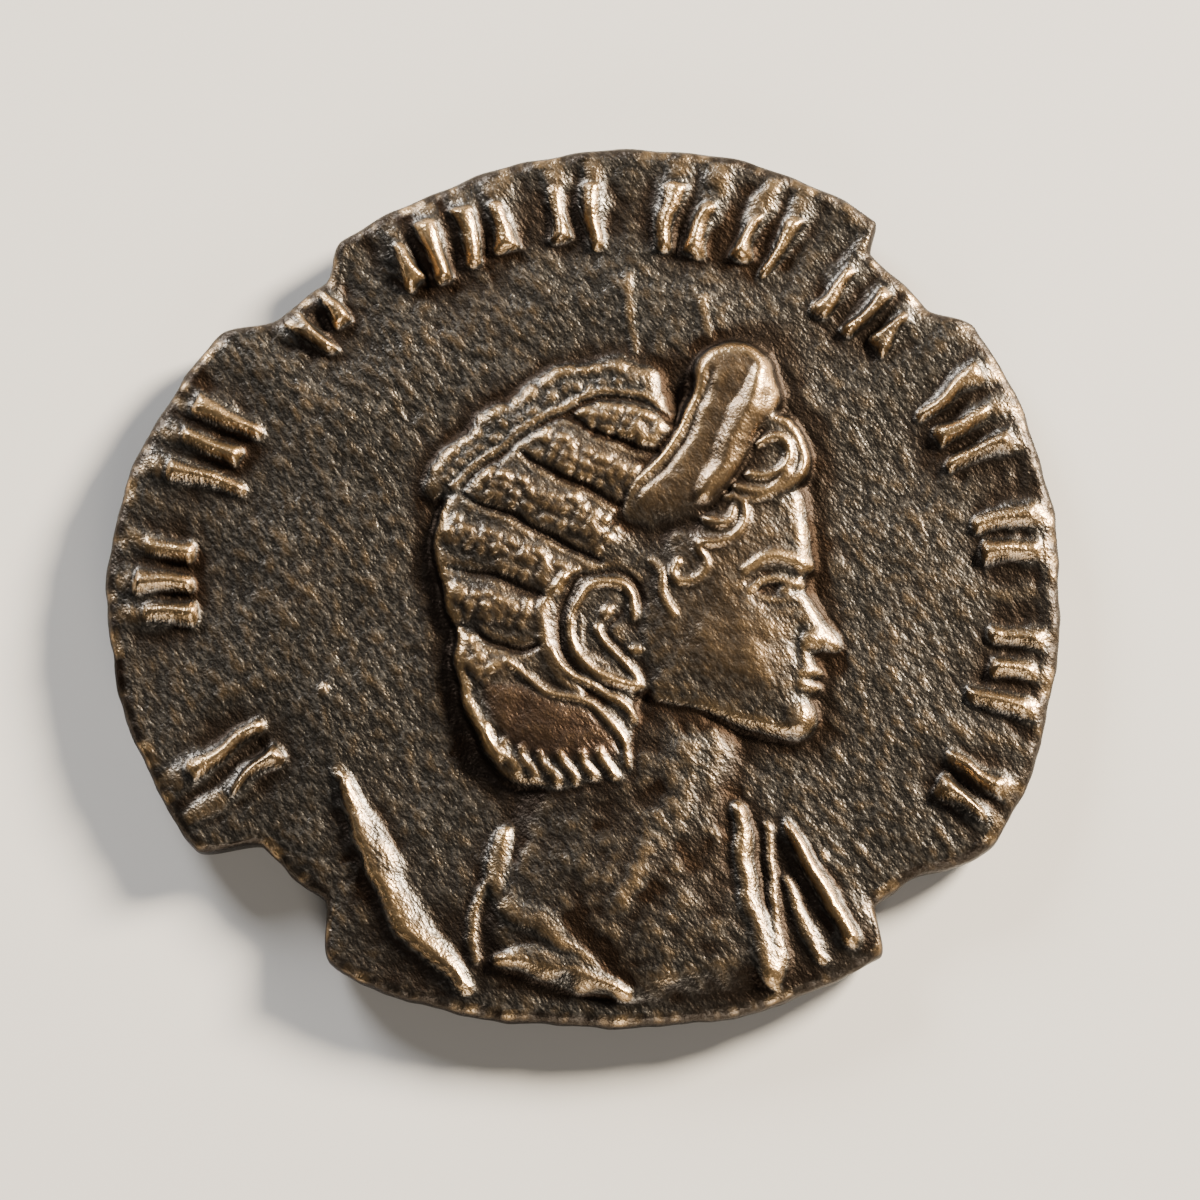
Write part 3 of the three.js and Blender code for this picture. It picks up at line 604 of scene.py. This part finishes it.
def obverseRelief():
    face, faceDetail = faceForm()
    even = obverse.x, obverse.y
    obverse.x = even[0] + bust["handCut"] * obverse.swells(*surface["wander"][0])
    obverse.y = even[1] + bust["handCut"] * obverse.swells(*surface["wander"][1])
    hairTop, cap, knot = hairForm()
    band, cover = diademForm()
    locks, strands = frontLockForms()
    earRaised, earSunk = earForms()
    neck = neckForm()

    head = highest(face + faceDetail, hairTop + strandForms() * (cap > 0.1))
    head = np.where(locks > 0.12, highest(head, locks) + strands, head + strands * 0.6)
    head = head + earRaised - earSunk
    head = highest(head * (1 - 0.35 * cover), band)
    strokes, moat = rimStrokeForms(obverse)
    robe = draperyForms()
    onField = highest(robe, strokes, *(bustRidge(line, [0.05, 0.1, 0.08], 0.06) for line in bust["flow"]))
    onField = highest(onField, *(bustDome(*grain) for grain in bust["grains"]))
    obverse.x, obverse.y = even
    halo = softened((highest(head, neck) > 0.15).astype(float), surface["haloSteps"]) * surface["halo"]

    depth, *shape = surface["broad"]
    field = depth * obverse.swells(*shape)
    for depth, *shape in surface["grained"]:
        field += depth * obverse.swells(*shape, patina["grainAngle"])
    depth, *shape = surface["pits"]
    field -= depth * np.clip(obverse.swells(*shape) - surface["pitShare"], 0, 1)
    ground = field - moat - halo
    relief = highest(neck + bust["robeOnNeck"] * robe * smoothStep(neck, 0.02, 0.15), onField)
    relief = highest(head, relief)
    wear = sum(depth * obverse.swells(*shape) for depth, *shape in surface["worn"])
    wear += surface["carried"] * (field - 0.01) * (1 - 0.7 * smoothStep(head, 0.2, 0.5))
    raised = smoothStep(relief, 0.05, 0.3)
    height = ground * (1 - raised) + np.minimum(relief, bust["wornLevel"]) + wear * raised
    # darker over the neck below the head, added to the hollow tone
    neckDarkening = bust["neckDarkening"] * smoothStep(neck, 0.02, 0.15) * (1 - smoothStep(head, 0.1, 0.3))
    return softened(height, 1), {"knot": knot, "neckDarkening": neckDarkening}


# the reverse, seen from its own side: a robed figure with a staff and a dish, and a ring of strokes
reverseSide = {
    "figureHeight": 13.5,
    "relief": 0.2,
    "robe": [
        (-0.95, 2.7), (-0.3, 2.95), (0.45, 2.95), (1.05, 2.65), (0.98, 1.6), (0.76, 0.75), (1.0, -0.3), (1.15, -1.8),
        (1.35, -3.4), (1.8, -4.5), (0.4, -4.62), (-1.25, -4.5), (-1.3, -3.2), (-1.2, -1.6), (-0.98, -0.3),
        (-0.72, 0.75), (-0.88, 1.7),
    ],
    "folds": [
        [(-0.5, -0.5), (-0.85, -2.0), (-0.75, -4.3)],
        [(0.1, -0.6), (-0.2, -2.4), (-0.1, -4.3)],
        [(0.55, -0.3), (0.45, -2.4), (0.65, -4.3)],
        [(0.75, -0.6), (0.95, -2.6), (1.3, -4.2)],
        [(-0.8, 0.3), (0, -0.1), (0.9, 0.45)],
        [(-0.65, 0.95), (0, 0.7), (0.7, 1.0)],
        [(-0.75, 2.5), (-0.3, 1.9), (-0.1, 1.1)],
        [(0.75, 2.5), (0.4, 1.9), (0.25, 1.1)],
    ],
    # lines with their half-widths, and their height as a share of the relief
    "limbs": [
        ([(0.8, 2.5), (1.65, 1.55), (2.4, 2.3)], [0.34, 0.38, 0.26], 1.0),
        ([(-0.75, 2.45), (-1.35, 1.4), (-2.25, 1.15)], [0.34, 0.4, 0.26], 1.0),
        ([(-1.35, 1.2), (-1.7, -0.6), (-1.55, -2.7)], [0.26, 0.34, 0.16], 0.85),
        ([(-1.8, 1.0), (-2.15, -0.5), (-2.05, -1.8)], [0.22, 0.28, 0.14], 0.8),
        ([(0.05, 3.2), (0.05, 2.7)], [0.26, 0.3], 0.8),
        ([(2.45, 4.6), (2.45, -4.5)], [0.16, 0.16], 0.9),
        ([(-3.9, -4.85), (3.9, -4.85)], [0.16, 0.16], 0.95),
    ],
    # places, radii, height shares and stretches of the head, hair, staff top, dish and feet
    "knobs": [
        (0.0, 3.62, 0.7, 1.25, 0.9), (0.55, 3.82, 0.44, 1.1, 1.0), (2.45, 4.7, 0.3, 1.1, 1.0),
        (-2.6, 1.3, 0.36, 1.05, 1.8), (-0.9, -4.5, 0.3, 0.9, 1.3), (0.9, -4.5, 0.3, 0.9, 1.3),
    ],
    "bodyShare": 0.9,
    "foldShare": 0.36,
    "strokes": 22,
    "strokeInset": 1.7,
    "strokeLength": 1.2,
    "ringFrom": 245,  # degrees, and how far round the strokes go
    "ringTurn": 310,
    "swells": [(0.016, 13, 3, 3), (0.008, 14, 0.6, 0.35, 0.6)],
}


def reverseRelief(face):
    s = reverseSide["figureHeight"] / 10
    h = reverseSide["relief"]
    face.x = -face.x  # drawn as it is read, then turned over

    def line(points, widths, share):
        return face.ridge([(x * s, y * s) for x, y in points], [w * s for w in widths], h * share)

    body = face.mound([(x * s, y * s) for x, y in reverseSide["robe"]], h * reverseSide["bodyShare"], 0.35, 0.45, 1.3)
    folds = highest(*(line(points, [0.1, 0.2, 0.16], reverseSide["foldShare"]) for points in reverseSide["folds"]))
    forms = [body + folds * smoothStep(body, 0.02, 0.1)]
    forms += [line(*limb) for limb in reverseSide["limbs"]]
    for x, y, radius, share, stretch in reverseSide["knobs"]:
        forms.append(face.dome(x * s, y * s, radius * s, h * share, stretch))
    for index in range(reverseSide["strokes"]):
        degrees = reverseSide["ringFrom"] - reverseSide["ringTurn"] * (index + 0.5) / reverseSide["strokes"]
        middle = float(rimRadius(math.pi - math.radians(degrees))) - reverseSide["strokeInset"]
        forms.append(strokeCluster(face, degrees, middle, 1, reverseSide["strokeLength"], index))
    face.x = -face.x
    worn = np.minimum(highest(*forms), h)
    field = np.clip(sum(depth * face.swells(*shape) for depth, *shape in reverseSide["swells"]), -0.05, 0.05)
    height = worn + field * (1 - smoothStep(worn, 0.05, h))
    return np.minimum(softened(height, 1), h)


def addFace(bm, face, height, shades):
    made = bmesh.ops.create_grid(bm, x_segments=face.cells, y_segments=face.cells, size=1)
    layers = {name: bm.verts.layers.float[name] for name in shades}
    for vert in made["verts"]:
        i, j = (round((vert.co[k] + 1) / 2 * face.cells) for k in (0, 1))
        vert.co = (face.x[i, j], face.y[i, j], height[i, j])
        for name, values in shades.items():
            vert[layers[name]] = values[i, j]


# high is 1 on the tops; hollow is 1 in the recesses, and also darkens the neck and the rim's side; crest is 1 where
# wear brightens an edge, and holds painted glints along the rim's top
tones = {
    "high": (0.28, 0.6),  # from none to full, in millimetres of relief
    "hollow": {"steps": 110, "depth": 0.09},
    "crest": {"steps": 8, "depth": 0.05},
    # the edge takes these tones throughout; its hollow share darkens the rim's side
    "edge": {"high": 0.12, "hollow": 0.45, "crest": 0.1, "knot": 0.0},
}


def tonesOf(height, relief, marks):
    sunk = softened(height, tones["hollow"]["steps"]) - height
    proud = height - softened(height, tones["crest"]["steps"])
    return {
        "high": smoothStep(relief, *tones["high"]),
        "hollow": np.clip(sunk / tones["hollow"]["depth"] + marks["neckDarkening"], 0, 1),
        "crest": np.clip(proud / tones["crest"]["depth"], 0, 1),
        "knot": marks["knot"],
    }


def makeCoin():
    middle = outlineMiddle()
    relief, marks = obverseRelief()
    top = reverseSide["relief"] + flan["thickness"] - flan["rimDrop"] * obverse.share**4
    print("obverse carved")
    underside = Face(flan["reverseCells"])
    sunk = reverseRelief(underside)
    print("reverse carved")

    bm = bmesh.new()
    for name in tones["edge"]:
        bm.verts.layers.float.new(name)
    border = 0.75 - 0.75 * smoothStep(obverse.fromEdge, 0.3, 0.6)
    addFace(bm, obverse, top + relief * (1 - border), tonesOf(relief, relief, marks))
    ring = [edge for edge in bm.edges if edge.is_boundary]
    for inset, level in flan["edge"]:
        made = bmesh.ops.extrude_edge_only(bm, edges=ring)["geom"]
        ring = [item for item in made if isinstance(item, bmesh.types.BMEdge)]
        ring = [edge for edge in ring if edge.is_boundary]
        for vert in (item for item in made if isinstance(item, bmesh.types.BMVert)):
            angle = math.atan2(vert.co.y, vert.co.x)
            wave = math.sin(angle * 23 + 2 * level) + math.sin(angle * 61 - 5 * level) + math.sin(angle * 113)
            glint = max(0, math.sin(angle * 37) * math.sin(angle * 17 + 2) + 0.4 * math.sin(angle * 151))
            radius = float(rimRadius(angle)) - inset - flan["edgeWaves"] * (3 + wave) / 6
            lift = flan["edgeLift"] * wave * (level > 1)
            vert.co = (radius * math.cos(angle), radius * math.sin(angle), level + lift)
            for name, value in tones["edge"].items():
                vert[bm.verts.layers.float[name]] = value
            # painted glints along the rim's top, carried in the crest tone and shown as gold
            vert[bm.verts.layers.float["crest"]] = flan["rimGlint"] * glint * (level > flan["brightAbove"])
    tops = set(bm.edges)
    bare = np.zeros_like(sunk)
    addFace(bm, underside, reverseSide["relief"] - sunk, tonesOf(sunk, sunk * 2, {"knot": bare, "neckDarkening": bare}))
    ring += [edge for edge in bm.edges if edge.is_boundary and edge not in tops]
    bmesh.ops.bridge_loops(bm, edges=ring)
    bmesh.ops.translate(bm, verts=bm.verts, vec=(-middle[0], -middle[1], 0))
    bmesh.ops.scale(bm, verts=bm.verts, vec=(mm, mm, mm))
    bmesh.ops.recalc_face_normals(bm, faces=bm.faces)
    openEdges = sum(not edge.is_manifold for edge in bm.edges)
    mesh = bpy.data.meshes.new("struckCoin")
    bm.to_mesh(mesh)
    bm.free()
    mesh.polygons.foreach_set("use_smooth", [True] * len(mesh.polygons))
    triangles = sum(len(face.vertices) - 2 for face in mesh.polygons)
    print("coin made of", triangles, "triangles,", openEdges, "open edges")
    coin = bpy.data.objects.new("struckCoin", mesh)
    bpy.context.collection.objects.link(coin)
    return coin


# a shader value; the operators add Math nodes, and node() adds any other kind
class Shade:
    tree = None

    def __init__(self, socket):
        self.socket = socket

    @classmethod
    def node(cls, kind, settings=None, inputs=None, output=0):
        made = cls.tree.nodes.new(kind)
        for name, value in (settings or {}).items():
            setattr(made, name, value)
        for name, value in (inputs or {}).items():
            if isinstance(value, Shade):
                cls.tree.links.new(value.socket, made.inputs[name])
            else:
                made.inputs[name].default_value = value
        return cls(made.outputs[output]) if made.outputs else made

    def math(self, operation, *values):
        return Shade.node("ShaderNodeMath", {"operation": operation}, dict(enumerate(values)))

    def __add__(self, other):
        return self.math("ADD", self, other)

    def __sub__(self, other):
        return self.math("SUBTRACT", self, other)

    def __rsub__(self, other):
        return self.math("SUBTRACT", other, self)

    def __mul__(self, other):
        return self.math("MULTIPLY", self, other)

    __radd__, __rmul__ = __add__, __mul__

    def between(self, low, high):
        settings = {"interpolation_type": "SMOOTHSTEP"}
        return Shade.node("ShaderNodeMapRange", settings, {"Value": self, "From Min": low, "From Max": high})


def blend(share, first, second):
    settings = {"data_type": "RGBA", "clamp_factor": True}
    return Shade.node("ShaderNodeMix", settings, {0: share, 6: first, 7: second}, 2)


def tone(name):
    return Shade.node("ShaderNodeAttribute", {"attribute_name": name}, output=2)


def noise(where, scale, detail=3.0, rough=0.5):
    inputs = {"Vector": where, "Scale": scale, "Detail": detail, "Roughness": rough}
    return Shade.node("ShaderNodeTexNoise", {}, inputs)


patina = {
    "field": (0.055, 0.049, 0.0425, 1),
    "fieldLight": (0.25, 0.224, 0.19, 1),
    "umber": (0.15, 0.092, 0.052, 1),
    "deposit": (0.018, 0.0115, 0.0075, 1),
    "gold": (0.78, 0.51, 0.25, 1),
    "copper": (0.1, 0.052, 0.032, 1),
    "grainAngle": math.radians(-52),
    "grainStretch": 2.1,
    "grainDepth": 0.00005,
    "streakScale": 10500,
    "speckScale": 15000,
    "cloudScale": 420,
    "topWear": 0.14,
    "crestWearAndGlint": 0.85,
    "patches": 0.45,
    "dirt": 0.92,
    "roughness": 0.32,
}


def billonFinish():
    material = bpy.data.materials.new("agedBillon")
    material.use_nodes = True
    Shade.tree = material.node_tree
    Shade.tree.nodes.clear()
    where = Shade.node("ShaderNodeTexCoord", output=3)
    turned = {"Rotation": (0, 0, patina["grainAngle"]), "Scale": (patina["grainStretch"], 1, 1)}
    along = Shade.node("ShaderNodeMapping", {"vector_type": "TEXTURE"}, {"Vector": where, **turned})
    streaks = noise(along, patina["streakScale"], 1.5)
    specks = noise(where, patina["speckScale"], 1)
    clouds = noise(where, patina["cloudScale"], 4, 0.6)
    high, hollow, crest, knot = (tone(name) for name in ("high", "hollow", "crest", "knot"))

    silver = (streaks.between(0.42, 0.75) * 0.75 + specks.between(0.5, 0.8) * 0.35) * (1 - hollow)
    colour = blend(silver, patina["field"], patina["fieldLight"])
    colour = blend(high * 0.5, colour, patina["umber"])
    # gold from wear on the tops and crests, and painted glints along the rim's top
    wear = high * patina["topWear"] + crest * patina["crestWearAndGlint"]
    worn = wear * (clouds.between(0.3, 0.65) * 0.6 + 0.4)
    colour = blend(worn * (1 - hollow * 0.8), colour, patina["gold"])
    colour = blend(knot * (streaks * 0.6 + 0.3), colour, patina["copper"])
    patches = clouds.between(0.52, 0.72) * patina["patches"]
    # darkens the recesses, the deposit patches, and through the hollow tone the neck and the rim's side
    dirt = (hollow.between(0.06, 0.7) + patches) * (clouds * 0.4 + 0.75) * (1 - crest)
    colour = blend(dirt * patina["dirt"], colour, patina["deposit"])

    roughness = patina["roughness"] - worn * 0.06 + dirt * 0.12 + clouds * 0.08
    bumps = (streaks * 0.6 + specks * 0.4) * (1 - high * 0.4)
    relief = {"Strength": 0.75, "Distance": patina["grainDepth"], "Height": bumps}
    shader = Shade.node("ShaderNodeBsdfPrincipled", {}, {
        "Base Color": colour,
        "Metallic": 1.0,
        "Roughness": roughness,
        "Normal": Shade.node("ShaderNodeBump", {}, relief),
    })
    Shade.node("ShaderNodeOutputMaterial", {}, {"Surface": shader})
    return material


studio = {
    "floor": (0.62, 0.6, 0.57, 1),
    "floorSize": 0.9,
    "floorGap": 0.00002,
    "picture": 1200,  # pixels each way
    "world": (0.06, 0.058, 0.055, 1),
    "elevation": 78,
    "distance": 0.4,
    "pixelsPerMm": 43.6,
    "coinAt": (583, 586),  # the coin's middle in it
    # place, size, power and colour of each soft light
    "lights": [
        {"at": (0.26, 0.17, 0.16), "size": 0.1, "power": 7.4, "colour": (1, 0.88, 0.71)},
        {"at": (-0.2, 0.28, 0.16), "size": 0.16, "power": 2.1, "colour": (0.94, 0.96, 1)},
        {"at": (0.05, -0.34, 0.16), "size": 0.2, "power": 0.8, "colour": (1, 0.93, 0.84)},
    ],
}


def plainMaterial(name, colour):
    material = bpy.data.materials.new(name)
    material.use_nodes = True
    shader = material.node_tree.nodes["Principled BSDF"]
    shader.inputs["Base Color"].default_value = colour
    shader.inputs["Roughness"].default_value = 0.9
    return material


def makeStudio():
    bm = bmesh.new()
    bmesh.ops.create_grid(bm, x_segments=1, y_segments=1, size=studio["floorSize"])
    mesh = bpy.data.meshes.new("floor")
    bm.to_mesh(mesh)
    bm.free()
    floor = bpy.data.objects.new("floor", mesh)
    mesh.materials.append(plainMaterial("paleFloor", studio["floor"]))
    bpy.context.collection.objects.link(floor)
    floor.location.z = -studio["floorGap"]

    for light in studio["lights"]:
        data = bpy.data.lights.new("softLight", "AREA")
        data.shape, data.size = "DISK", light["size"]
        data.energy, data.color = light["power"], light["colour"]
        lamp = bpy.data.objects.new("softLight", data)
        lamp.location = light["at"]
        lamp.rotation_euler = (-Vector(light["at"])).to_track_quat("-Z", "Y").to_euler()
        bpy.context.collection.objects.link(lamp)

    world = bpy.data.worlds.new("studio")
    world.use_nodes = True
    world.node_tree.nodes["Background"].inputs["Color"].default_value = studio["world"]
    bpy.context.scene.world = world


def makeCamera():
    tilt = math.radians(studio["elevation"])
    right, down = (p - studio["picture"] / 2 for p in studio["coinAt"])
    scale = mm / studio["pixelsPerMm"]
    aim = Vector((-right * scale, down * scale / math.sin(tilt), mm))
    back = Vector((0, -math.cos(tilt), math.sin(tilt)))
    data = bpy.data.cameras.new("camera")
    data.lens = data.sensor_width * studio["distance"] / (studio["picture"] * scale)
    data.clip_start = 0.01
    camera = bpy.data.objects.new("camera", data)
    camera.location = aim + back * studio["distance"]
    camera.rotation_euler = (-back).to_track_quat("-Z", "Y").to_euler()
    bpy.context.collection.objects.link(camera)
    bpy.context.scene.camera = camera


coin = makeCoin()
coin.data.materials.append(billonFinish())
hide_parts("coin")
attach(coin, "root")
print("coin finished")
makeStudio()
makeCamera()
print("studio set")
